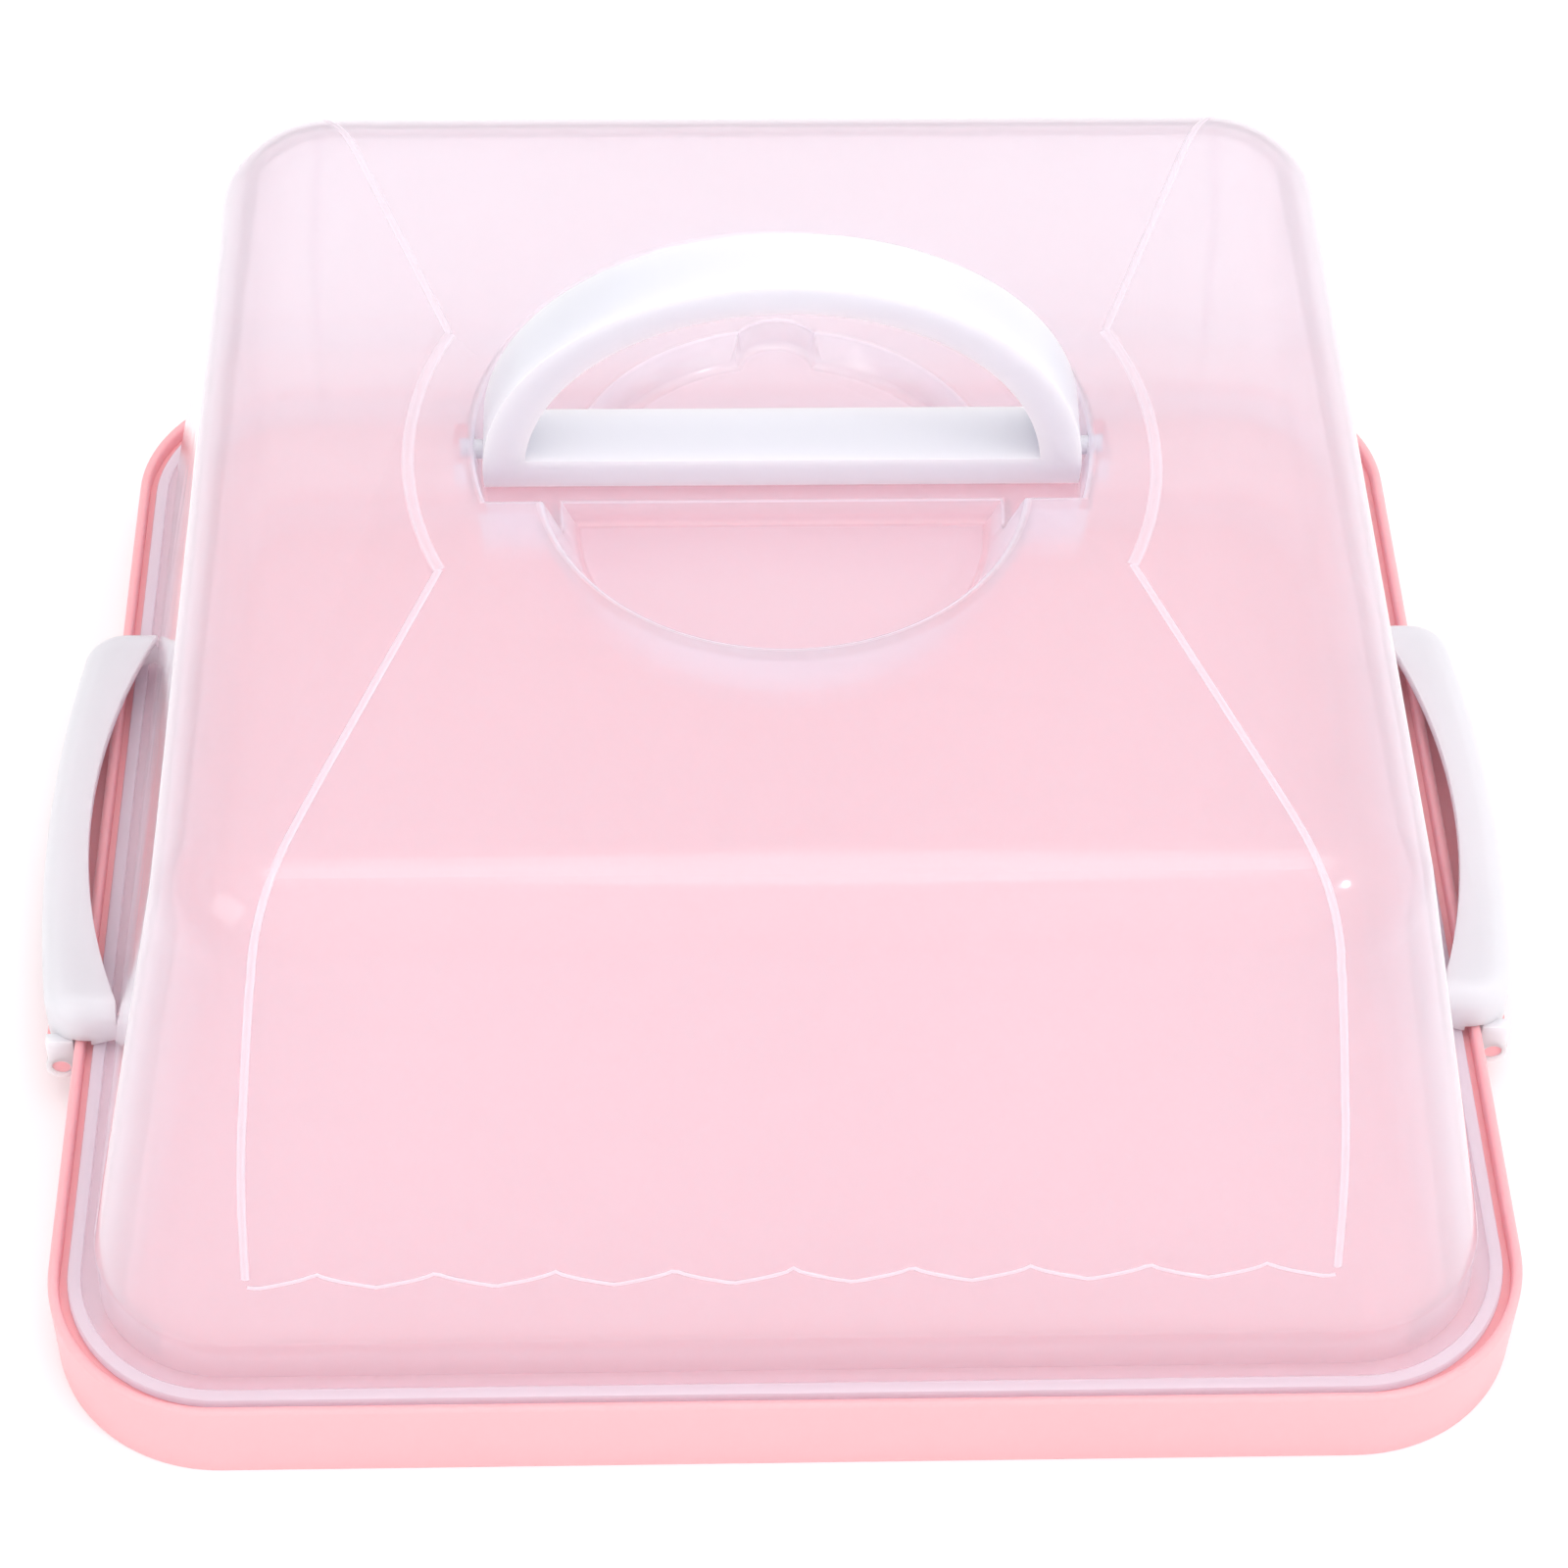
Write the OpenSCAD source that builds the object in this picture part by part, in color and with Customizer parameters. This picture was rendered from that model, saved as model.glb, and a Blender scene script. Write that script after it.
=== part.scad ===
// Square cake carrier: tray with an upstanding rim, clear domed lid that lifts
// off, fold-down carry handle sunk in the lid, two side clips hinged on the tray.
// Millimetres, +Z up. Origin: centre of the tray's flat underside.
// Front is -Y (the side the carrier is looked at from), clips are at -X and +X.

/* [Tray] */
// outside width of the square tray
tray_w = 300; // [240:1:360]
// height of the tray rim above the table
tray_h = 20.5; // [14:0.5:34]
// plan radius of the tray corners
tray_r = 36; // [20:1:60]
// thickness of the rim lip
lip_t = 2.1; // [1.6:0.1:4]
// height of the channel floor the lid flange sits over
channel_z = 17; // [10:0.5:28]
// height of the cake platform
platform_z = 19; // [12:0.5:30]
// distance from the tray's outer face to the raised cake platform
platform_in = 19; // [14:0.5:40]
// thickness of the moulded floor
floor_t = 2.2; // [1.6:0.1:4]
// thickness of the stiffening ribs below the floor
rib_t = 1.8; // [1.2:0.1:4]
// spacing of the stiffening ribs
rib_pitch = 60; // [40:5:120]
// depth of the stiffening ribs below the floor
rib_h = 3.5; // [2:0.5:6]

/* [Lid] */
// total height of the closed carrier without the handle
lid_top_z = 136; // [110:1:180]
// gap between the edge of the lid flange and the rim lip
flange_gap = 1.6; // [0.8:0.1:4]
// width of the lid flange outside its collar
flange_rim = 6.5; // [4:0.1:12]
// thickness of the lid flange
flange_t = 2; // [1.4:0.1:4]
// height of the collar's top edge above the table
collar_z = 29.5; // [24:0.5:50]
// distance the wall leans in between the collar and the rounded edge
wall_lean = 18.8; // [6:0.2:40]
// radius of the rounded edge round the top
crown_r = 20; // [8:1:40]
// wall thickness of the lid
lid_t = 2; // [1.4:0.1:4]

/* [Handle recess] */
// gap between the handle bow and the round wall of the recess
recess_gap = 1.9; // [1:0.1:6]
// distance the recess centre (the handle axis) sits behind the lid centre
recess_y = 6.5; // [-20:0.5:20]
// straight front edge of the recess behind the handle axis, measured forward
recess_front = 18.3; // [10:0.1:40]
// gap between the turning handle bar and the ledge below it
ledge_gap = 0.31; // [0.2:0.01:2]
// depth of the finger wells below the ledge
well_drop = 6.1; // [3:0.1:15]
// how much smaller the front finger well is than the recess, on the radius
front_well_in = 13.3; // [6:0.1:30]
// centre of the front finger well
front_well_y = -4; // [-20:0.5:20]
// how much smaller the back finger well is than the recess, on the radius
back_well_in = 18.5; // [10:0.1:30]
// front edge of the bridge that runs below the handle bar
bridge_y0 = -1.2; // [-12:0.1:6]
// back edge of the bridge that runs below the handle bar
bridge_y1 = 14; // [8:0.5:30]

/* [Handle] */
// outside radius of the handle bow
bow_r = 60.4; // [40:0.1:80]
// thickness of the handle bow seen from the front
bow_t = 8.4; // [5:0.1:14]
// depth of the handle front to back
bow_d = 13; // [8:0.5:20]
// height of the straight bar of the handle
bar_h = 8.9; // [6:0.1:14]
// depth of the handle axis below the top face
axis_d = 3.3; // [2:0.1:10]
// forward lean of the raised handle in degrees
lean = 11; // [0:1:20]
// radius of the handle pins
pin_r = 2; // [1.5:0.1:4]
// length of each handle pin beyond the bow
pin_l = 4.4; // [3:0.1:8]
// radius of the rounded lower edges of the bar
bar_edge_r = 3; // [1:0.1:4]

/* [Clips] */
// length of a clip along the tray edge
clip_l = 113; // [70:1:160]
// distance the clip stands out from the tray's outer face
clip_out = 10; // [8:0.5:20]
// height of the clip's top face above the table
clip_z = 31; // [24:0.5:50]
// gap between the hook edge of a clip and the lid's collar
hook_gap = 1.4; // [0.8:0.1:4]
// distance from the tray's outer face to the outer side of the finger gap
gap_out = 1.5; // [0.5:0.1:4]
// radius of the rounded edge round the clip's top
clip_edge_r = 5; // [2:0.5:7]
// thickness of the clip
clip_t = 2.4; // [1.6:0.1:4]
// slope of the hook's underside, rising towards the lid, in degrees
hook_slope = 24; // [15:1:40]
// radius of the clip hinge pins
hinge_r = 2; // [1.5:0.1:3]
// distance from the tray's outer face to the clip hinge axis
hinge_out = 3.6; // [3:0.1:8]
// height of the clip hinge axis
hinge_z = 12; // [8:0.5:20]

/* [Fits] */
// running clearance between a pin and its bore, on the radius
run_fit = 0.08; // [0.03:0.01:0.1]
// gap between parts that sit over each other
seat_gap = 0.3; // [0.2:0.05:0.8]

/* [Hidden] */
$fn = 96;
eps = 0.01;
tray_hw = tray_w / 2;
inner_hw = tray_hw - lip_t;
platform_hw = tray_hw - platform_in;
flange_hw = inner_hw - flange_gap;
flange_z0 = channel_z + seat_gap;
flange_z1 = flange_z0 + flange_t;
collar_hw = flange_hw - flange_rim;
foot_hw = collar_hw + 0.5;
foot_r = tray_r - 8;
dome_hw = collar_hw - wall_lean;
crown_hw = dome_hw - crown_r;
recess_r = bow_r + recess_gap;
front_well_r = recess_r - front_well_in;
back_well_r = recess_r - back_well_in;
bar_sweep = norm([bow_d / 2 - bar_edge_r, bar_h / 2 - bar_edge_r]) + bar_edge_r;
ledge_d = axis_d + bar_sweep + ledge_gap;
well_d = ledge_d + well_drop;
pocket_y = recess_y + back_well_r - 7.3;
ledge_z = lid_top_z - ledge_d;
well_z = lid_top_z - well_d;
axis_z = lid_top_z - axis_d;
clip_hl = clip_l / 2;
clip_x = tray_hw + clip_out;
hook_x = collar_hw + hook_gap;
gap_x = tray_hw + gap_out;
hinge_x = tray_hw + hinge_out;
nose_z = flange_z1 + seat_gap;
under_z = max(tray_h + 0.5, nose_z);
skirt_z = hinge_z + 4.6;
knuckle_r = 3.9;
leg_r = 3.3;
ear_hl = clip_hl - clip_t - 0.6;
gap_hl = clip_hl - 6.5;
gap_sag = gap_x - hook_x;
gap_r = gap_hl * gap_hl / (2 * gap_sag) + gap_sag / 2;
bulge_r = 340;
end_r = 9;
end_x = clip_x - 3.4;

// block with rounded upright corners
module rbox(hw, z0, z1, r) {
  translate([-hw, -hw + r, z0])
    cube([2 * hw, 2 * hw - 2 * r, z1 - z0]);
  translate([-hw + r, -hw, z0])
    cube([2 * hw - 2 * r, 2 * hw, z1 - z0]);
  for (sx = [-1, 1])
    for (sy = [-1, 1])
      translate([sx * (hw - r), sy * (hw - r), z0])
        cylinder(r = r, h = z1 - z0);
}

// ---- tray -------------------------------------------------------------
module base_tray() {
  color([0.95, 0.74, 0.76]) {
    difference() {
      union() {
        difference() {
          union() {
            rbox(tray_hw, 0, tray_h - lip_t / 2, tray_r);
            lip_round();
          }
          rbox(inner_hw, channel_z, tray_h + 1, tray_r - lip_t);
          rbox(inner_hw - 0.4, -1, channel_z - floor_t, tray_r - lip_t);
        }
        difference() {
          rbox(platform_hw, channel_z - 1, platform_z, 24);
          rbox(platform_hw - floor_t, channel_z - 2, platform_z - floor_t, 22);
        }
        tray_ribs();
      }
      rbox(platform_hw - floor_t, channel_z - floor_t - 1, platform_z - floor_t, 22);
    }
    rib_tops();
    for (sx = [-1, 1])
      tray_ear(sx);
  }
}

// rounded top of the rim lip: four bars and four quarter rings
module lip_round() {
  mid_hw = tray_hw - lip_t / 2;
  straight = 2 * (tray_hw - tray_r);
  for (a = [0 : 90 : 270])
    rotate([0, 0, a]) {
      translate([mid_hw, 0, tray_h - lip_t / 2])
        rotate([90, 0, 0])
          cylinder(r = lip_t / 2, h = straight, center = true);
      translate([tray_hw - tray_r, tray_hw - tray_r, tray_h - lip_t / 2])
        rotate_extrude(angle = 90)
          translate([tray_r - lip_t / 2, 0])
            circle(r = lip_t / 2);
    }
}

// shallow ribs below the floor, open to the table side
module tray_ribs() {
  rib_z = channel_z - floor_t - rib_h;
  for (p = [-1.5 : 1 : 1.5]) {
    translate([p * rib_pitch - rib_t / 2, -inner_hw, rib_z])
      cube([rib_t, 2 * inner_hw, rib_h + 0.5]);
    translate([-inner_hw, p * rib_pitch - rib_t / 2, rib_z])
      cube([2 * inner_hw, rib_t, rib_h + 0.5]);
  }
}

// upper part of the ribs, inside the raised platform
module rib_tops() {
  rib_hw = platform_hw - floor_t + 0.2;
  rib_z = channel_z - floor_t - 1.5;
  top_h = platform_z - floor_t - rib_z + 0.2;
  for (p = [-1.5 : 1 : 1.5]) {
    translate([p * rib_pitch - rib_t / 2, -rib_hw, rib_z])
      cube([rib_t, 2 * rib_hw, top_h]);
    translate([-rib_hw, p * rib_pitch - rib_t / 2, rib_z])
      cube([2 * rib_hw, rib_t, top_h]);
  }
}

// hinge ear of one clip with its two pins
module tray_ear(sx) {
  translate([sx * hinge_x, 0, hinge_z])
    rotate([90, 0, 0])
      cylinder(r = knuckle_r, h = 2 * ear_hl - 12, center = true);
  ear_x0 = min(sx * (tray_hw - 1), sx * hinge_x);
  translate([ear_x0, -ear_hl + 6, hinge_z - knuckle_r])
    cube([hinge_x - tray_hw + 1, 2 * ear_hl - 12, 2 * knuckle_r]);
  // pins with a thicker root
  translate([sx * hinge_x, 0, hinge_z])
    rotate([90, 0, 0])
      cylinder(r = leg_r - 0.2, h = 2 * ear_hl, center = true);
  translate([sx * hinge_x, 0, hinge_z])
    rotate([90, 0, 0])
      cylinder(r = hinge_r, h = 2 * clip_hl - 0.8, center = true);
}

// ---- lid --------------------------------------------------------------
// points of one rounded square, counter-clockwise, n steps a corner
function ring(hw, r, z, n) = [
  for (c = [0 : 3])
    for (i = [0 : n])
      let (a = 90 * c + 90 * i / n)
      let (sx = (c == 0 || c == 3) ? 1 : -1)
      let (sy = (c < 2) ? 1 : -1)
      [sx * (hw - r) + r * cos(a), sy * (hw - r) + r * sin(a), z]
];

// solid through a stack of rings that have the same number of points
module skin(rings) {
  m = len(rings[0]);
  k = len(rings);
  pts = [for (r = rings) each r];
  sides = [
    for (j = [0 : k - 2])
      for (i = [0 : m - 1])
        let (p = j * m + i)
        let (q = j * m + (i + 1) % m)
        each [[p, p + m, q + m], [p, q + m, q]]
  ];
  low = [[for (i = [0 : m - 1]) i]];
  high = [[for (i = [m - 1 : -1 : 0]) (k - 1) * m + i]];
  polyhedron(points = pts, faces = concat(low, sides, high), convexity = 4);
}

// solid through a stack of rounded squares [half width, corner radius, height]
module loft(stack, n) {
  skin([for (s = stack) ring(s[0], s[1], s[2], n)]);
}

// dome outline, t = inset of the surface
function dome_stack(t, z0) = concat(
  [
    [foot_hw - t, foot_r - t, z0],
    [collar_hw - t, foot_r - 1 - t, collar_z - t * 0.2]
  ],
  [
    for (a = [12 : 6 : 90])
      [crown_hw + (crown_r - t) * cos(a), 4 + (crown_r - t) * cos(a),
       lid_top_z - crown_r + (crown_r - t) * sin(a)]
  ]
);

// dome with its collar, standing on the flange
module lid() {
  color([0.96, 0.88, 0.95, 0.45])
    difference() {
      union() {
        difference() {
          loft(dome_stack(0, flange_z1), 8);
          loft(dome_stack(lid_t, flange_z1 - 1), 8);
        }
        recess_tub();
      }
      recess_cut();
    }
}

// flat flange round the foot of the dome, moulded in one with it
module lid_flange() {
  color([0.96, 0.88, 0.95, 0.45])
    difference() {
      rbox(flange_hw, flange_z0, flange_z1, tray_r - 3);
      rbox(foot_hw - lid_t, flange_z0 - 1, flange_z1 + 1, foot_r - lid_t);
    }
}

// material round the recess, inside the dome
module recess_tub() {
  intersection() {
    translate([0, recess_y, ledge_z - lid_t])
      cylinder(r1 = recess_r - 1.2 + lid_t, r2 = recess_r + lid_t, h = ledge_d + lid_t - 0.6);
    translate([-dome_hw, recess_y - recess_front - lid_t, 0])
      cube([2 * dome_hw, 2 * dome_hw, lid_top_z + 10]);
  }
  intersection() {
    translate([0, front_well_y, well_z - lid_t])
      cylinder(r1 = front_well_r - 7 + lid_t, r2 = front_well_r + lid_t, h = well_d + lid_t - 0.6);
    translate([-dome_hw, -dome_hw, 0])
      cube([2 * dome_hw, dome_hw + bridge_y0 + lid_t, lid_top_z + 10]);
  }
  intersection() {
    translate([0, recess_y, well_z - lid_t])
      cylinder(r1 = back_well_r - 4.3 + lid_t, r2 = back_well_r + lid_t, h = well_d - ledge_d + lid_t);
    translate([-dome_hw, bridge_y1 - lid_t, 0])
      cube([2 * dome_hw, dome_hw, lid_top_z]);
  }
  translate([0, pocket_y, well_z - lid_t])
    cylinder(r1 = 8.7 + lid_t, r2 = 10.3 + lid_t, h = well_d - ledge_d + lid_t);
  for (sx = [-1, 1])
    translate([sx > 0 ? recess_r - 2 : -(recess_r + 4), recess_y - 6, axis_z - 5])
      cube([6, 12, 5 + axis_d - 0.6]);
}

// free space of the recess, its wells and the pin bores
module recess_cut() {
  intersection() {
    translate([0, recess_y, ledge_z])
      cylinder(r1 = recess_r - 1.2, r2 = recess_r + 0.06, h = ledge_d + 0.5);
    translate([-dome_hw, recess_y - recess_front, 0])
      cube([2 * dome_hw, 2 * dome_hw, lid_top_z + 10]);
  }
  intersection() {
    translate([0, front_well_y, well_z])
      cylinder(r1 = front_well_r - 7, r2 = front_well_r + 0.21, h = well_d + 0.5);
    translate([-dome_hw, -dome_hw, 0])
      cube([2 * dome_hw, dome_hw + bridge_y0, lid_top_z + 10]);
  }
  intersection() {
    translate([0, recess_y, well_z])
      cylinder(r1 = back_well_r - 4.3, r2 = back_well_r, h = well_d - ledge_d + eps);
    translate([-dome_hw, bridge_y1, 0])
      cube([2 * dome_hw, dome_hw, lid_top_z]);
  }
  translate([0, pocket_y, well_z])
    cylinder(r1 = 8.7, r2 = 10.3, h = well_d - ledge_d + eps);
  for (sx = [-1, 1])
    translate([sx * (bow_r + pin_l + 0.4), recess_y, axis_z])
      rotate([0, -sx * 90, 0])
        cylinder(r = pin_r + run_fit, h = 8);
}

// ---- handle -----------------------------------------------------------
module carry_handle() {
  color([0.94, 0.94, 0.97])
    translate([0, recess_y, axis_z])
      rotate([lean, 0, 0])
        handle_body();
}

// handle about its own axis, bow upwards
module handle_body() {
  difference() {
    intersection() {
      rotate([90, 0, 0])
        cylinder(r = bow_r, h = bow_d, center = true);
      translate([-bow_r - 1, -bow_d, -bar_h / 2])
        cube([2 * bow_r + 2, 2 * bow_d, bow_r + bar_h]);
    }
    intersection() {
      rotate([90, 0, 0])
        cylinder(r = bow_r - bow_t, h = bow_d + 2, center = true);
      translate([-bow_r, -bow_d, bar_h / 2])
        cube([2 * bow_r, 2 * bow_d, bow_r]);
    }
    for (sy = [-1, 1])
      bar_edge(sy);
  }
  for (sx = [-1, 1])
    translate([sx * (bow_r + pin_l), 0, 0])
      rotate([0, -sx * 90, 0])
        cylinder(r = pin_r, h = pin_l + 3);
}

// what is taken off to round a lower edge of the bar
module bar_edge(sy) {
  difference() {
    translate([-bow_r - 2, sy > 0 ? bow_d / 2 - bar_edge_r : -bow_d / 2 - 1, -bar_h / 2 - 1])
      cube([2 * bow_r + 4, bar_edge_r + 1, bar_edge_r + 1]);
    translate([0, sy * (bow_d / 2 - bar_edge_r), -bar_h / 2 + bar_edge_r])
      rotate([0, 90, 0])
        cylinder(r = bar_edge_r, h = 2 * bow_r + 8, center = true);
  }
}

// ---- clips ------------------------------------------------------------
// plan of the right-hand clip at height z, inset by t, with its hook edge at hx
function clip_ring(t, hx, z) = concat(
  [[hx, -clip_hl + t, z]],
  [
    for (i = [0 : 6])
      let (a = -90 + i * 13)
      [end_x - end_r + (end_r - t) * cos(a), -clip_hl + end_r + (end_r - t) * sin(a), z]
  ],
  [
    for (i = [-6 : 6])
      let (b = i * 1.2)
      [clip_x - bulge_r + (bulge_r - t) * cos(b), (bulge_r - t) * sin(b), z]
  ],
  [
    for (i = [6 : -1 : 0])
      let (a = 90 - i * 13)
      [end_x - end_r + (end_r - t) * cos(a), clip_hl - end_r + (end_r - t) * sin(a), z]
  ],
  [[hx, clip_hl - t, z]]
);

// stack of clip plans with a rounded upper edge; t is the inset of the surface
function clip_stack(t, hx, z0) = concat(
  [clip_ring(t, hx, z0)],
  [
    for (a = [0 : 15 : 90])
      let (r = clip_edge_r - t)
      clip_ring(t + r * (1 - cos(a)), hx, clip_z - clip_edge_r + r * sin(a))
  ]
);

// right-hand clip
module clip_body() {
  difference() {
    union() {
      difference() {
        skin(clip_stack(0, hook_x, skirt_z));
        skin(clip_stack(clip_t, hook_x - 5, skirt_z - 1));
      }
      for (sy = [-1, 1])
        clip_leg(sy);
    }
    // finger gap
    translate([gap_x - gap_r, 0, clip_z - clip_t - 1])
      cylinder(r = gap_r, h = clip_t + 2, $fn = 240);
    // room for the rim lip
    translate([flange_hw + 0.1, -clip_hl - 1, 0])
      cube([tray_hw - flange_hw + 0.3, clip_l + 2, under_z]);
    // room for the lid flange, rising inwards so that a hard pull frees the lid
    translate([0, clip_hl + 1, 0])
      rotate([90, 0, 0])
        linear_extrude(clip_l + 2)
          polygon([
            [hook_x - 2, 0],
            [flange_hw + 0.15, 0],
            [flange_hw + 0.15, nose_z],
            [hook_x - 2, nose_z + (flange_hw + 2.15 - hook_x) * tan(hook_slope)]
          ]);
    // hinge bores
    translate([hinge_x, 0, hinge_z])
      rotate([90, 0, 0])
        cylinder(r = hinge_r + run_fit, h = clip_l + 4, center = true);
  }
}

// end leg that reaches down to the hinge pin
module clip_leg(sy) {
  y0 = sy > 0 ? clip_hl - clip_t : -clip_hl;
  translate([hinge_x, y0 + clip_t / 2, hinge_z])
    rotate([90, 0, 0])
      cylinder(r = leg_r, h = clip_t, center = true);
  translate([hinge_x - leg_r, y0, hinge_z])
    cube([2 * leg_r - 0.8, clip_t, skirt_z - hinge_z + 4]);
}

module clip_right() {
  color([0.94, 0.94, 0.97])
    clip_body();
}

module clip_left() {
  color([0.94, 0.94, 0.97])
    mirror([1, 0, 0])
      clip_body();
}

base_tray();
lid();
lid_flange();
carry_handle();
clip_left();
clip_right();
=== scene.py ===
"""Square cake carrier dressed for the studio: tray, clear lid, carry handle, side clips.

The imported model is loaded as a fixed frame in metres.  Every piece is drawn in
millimetres, in the frame of the part (origin under the middle of the tray, front
towards -Y, up +Z), settled in metres and hung on the body that carries it.
"""

import logging
import math
from collections.abc import Callable, Iterable, Sequence
from dataclasses import dataclass, field
from enum import Enum

import bmesh
import bpy
from mathutils import Matrix, Vector
from mathutils.bvhtree import BVHTree

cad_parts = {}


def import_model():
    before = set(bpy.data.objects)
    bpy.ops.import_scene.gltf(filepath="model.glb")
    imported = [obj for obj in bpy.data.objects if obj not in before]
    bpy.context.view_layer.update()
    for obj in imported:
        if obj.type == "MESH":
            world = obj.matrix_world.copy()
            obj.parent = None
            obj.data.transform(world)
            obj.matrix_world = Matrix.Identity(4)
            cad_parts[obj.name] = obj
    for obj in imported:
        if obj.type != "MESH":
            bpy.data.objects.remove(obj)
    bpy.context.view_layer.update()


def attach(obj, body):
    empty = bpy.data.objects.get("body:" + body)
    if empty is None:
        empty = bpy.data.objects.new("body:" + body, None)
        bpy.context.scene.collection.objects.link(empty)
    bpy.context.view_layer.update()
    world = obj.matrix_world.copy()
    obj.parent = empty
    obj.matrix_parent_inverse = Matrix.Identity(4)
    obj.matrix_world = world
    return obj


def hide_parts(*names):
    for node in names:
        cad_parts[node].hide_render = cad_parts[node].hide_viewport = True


LOG = logging.getLogger("carrier")
MM = 0.001
# per-point mark of extra white milk on the lid: partly haze where the plastic is seen edge-on, partly a
# painted highlight for the bright reflections along rims, raised lines, recess walls and the flange
# bead
MILK_AND_HIGHLIGHT_MARK = "milky_edge"


class Side(Enum):
    """Side of the carrier, with the sign of its X."""

    LEFT = -1
    RIGHT = 1


class Mode(Enum):
    """What one solid does to another."""

    JOIN = "UNION"
    CUT = "DIFFERENCE"
    KEEP_COMMON = "INTERSECT"


# ---------------------------------------------------------------- colour and nodes
def to_linear(code: str) -> tuple[float, float, float, float]:
    """Turn an sRGB hex colour into a linear one.

    Args:
        code: Colour as "#rrggbb".

    Returns:
        Linear red, green, blue and an alpha of one.
    """
    parts = [int(code[i : i + 2], 16) / 255 for i in (1, 3, 5)]
    linear = [c / 12.92 if c <= 0.04045 else ((c + 0.055) / 1.055) ** 2.4 for c in parts]
    return (linear[0], linear[1], linear[2], 1.0)


def per_metre(size_mm: float) -> float:
    """Return the texture scale at which one feature is size_mm wide."""
    return 1.0 / (size_mm * MM)


def add_node(
    tree: bpy.types.NodeTree, kind: str, values: dict[str | int, object] | None = None
) -> bpy.types.Node:
    """Add a node and fill it in.

    Args:
        tree: Tree that gets the node.
        kind: Blender's name for the kind of node, without "ShaderNode".
        values: Property, or name or number of an input, to its value.  A socket or
            a node is linked; a node stands for its first output.

    Returns:
        The new node.
    """
    node = tree.nodes.new("ShaderNode" + kind)
    for name, value in (values or {}).items():
        if isinstance(value, bpy.types.Node):
            value = value.outputs[0]
        if isinstance(value, bpy.types.NodeSocket):
            tree.links.new(value, node.inputs[name])
        elif isinstance(name, int) or name in node.inputs:
            node.inputs[name].default_value = value
        else:
            setattr(node, name, value)
    return node


def blend(
    tree: bpy.types.NodeTree, share: bpy.types.Node, first: str, second: str
) -> bpy.types.NodeSocket:
    """Blend two hex colours by the share that a node gives."""
    colours = {6: to_linear(first), 7: to_linear(second)}
    return add_node(tree, "Mix", {"data_type": "RGBA", 0: share, **colours}).outputs[2]


def new_tree(name: str) -> tuple[bpy.types.Material, bpy.types.NodeTree]:
    """Make an empty node material and return it with its tree."""
    material = bpy.data.materials.new(name)
    material.use_nodes = True
    material.node_tree.nodes.clear()
    return material, material.node_tree


# ---------------------------------------------------------------- finishes
@dataclass(frozen=True)
class MouldedPolypropylene:
    """Opaque polypropylene, injection moulded in a lightly polished tool.

    The resin scatters a little light below its skin, so edges look soft; the tool
    leaves a faint orange peel, so highlights break up; the pigment clouds slightly.
    """

    name: str
    colour: str
    cloud_colour: str
    roughness: float = 0.36
    ior: float = 1.49
    scatter: float = 0.12
    scatter_mm: float = 1.2
    scatter_spread: tuple[float, float, float] = (1.0, 0.7, 0.7)
    cloud_mm: float = 55.0
    peel_mm: float = 1.6
    peel_depth_mm: float = 0.012
    gloss_patch_mm: float = 18.0
    patchiness: tuple[float, float] = (0.04, 0.05)

    def material(self) -> bpy.types.Material:
        """Build the node material.

        Returns:
            The finished material.
        """
        material, tree = new_tree(self.name)
        place = add_node(tree, "TexCoord").outputs["Object"]
        cloud, patch, peel = (
            add_node(tree, "TexNoise", {"Scale": per_metre(size), "Vector": place, **fineness})
            for size, fineness in (
                (self.cloud_mm, {"Detail": 3.0, "Roughness": 0.55}),
                (self.gloss_patch_mm, {"Detail": 2.0}),
                (self.peel_mm, {"Detail": 2.0}),
            )
        )
        duller, shinier = self.roughness + self.patchiness[1], self.roughness - self.patchiness[0]
        gloss = add_node(tree, "MapRange", {"To Min": shinier, "To Max": duller, "Value": patch})
        depth = self.peel_depth_mm * MM
        bump = add_node(tree, "Bump", {"Strength": 1.0, "Distance": depth, "Height": peel})
        values = {
            "IOR": self.ior,
            "Subsurface Weight": self.scatter,
            "Subsurface Scale": self.scatter_mm * MM,
            "Subsurface Radius": self.scatter_spread,
            "Base Color": blend(tree, cloud, self.colour, self.cloud_colour),
            "Roughness": gloss,
            "Normal": bump,
        }
        shader = add_node(tree, "BsdfPrincipled", values)
        add_node(tree, "OutputMaterial", {"Surface": shader})
        return material


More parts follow.
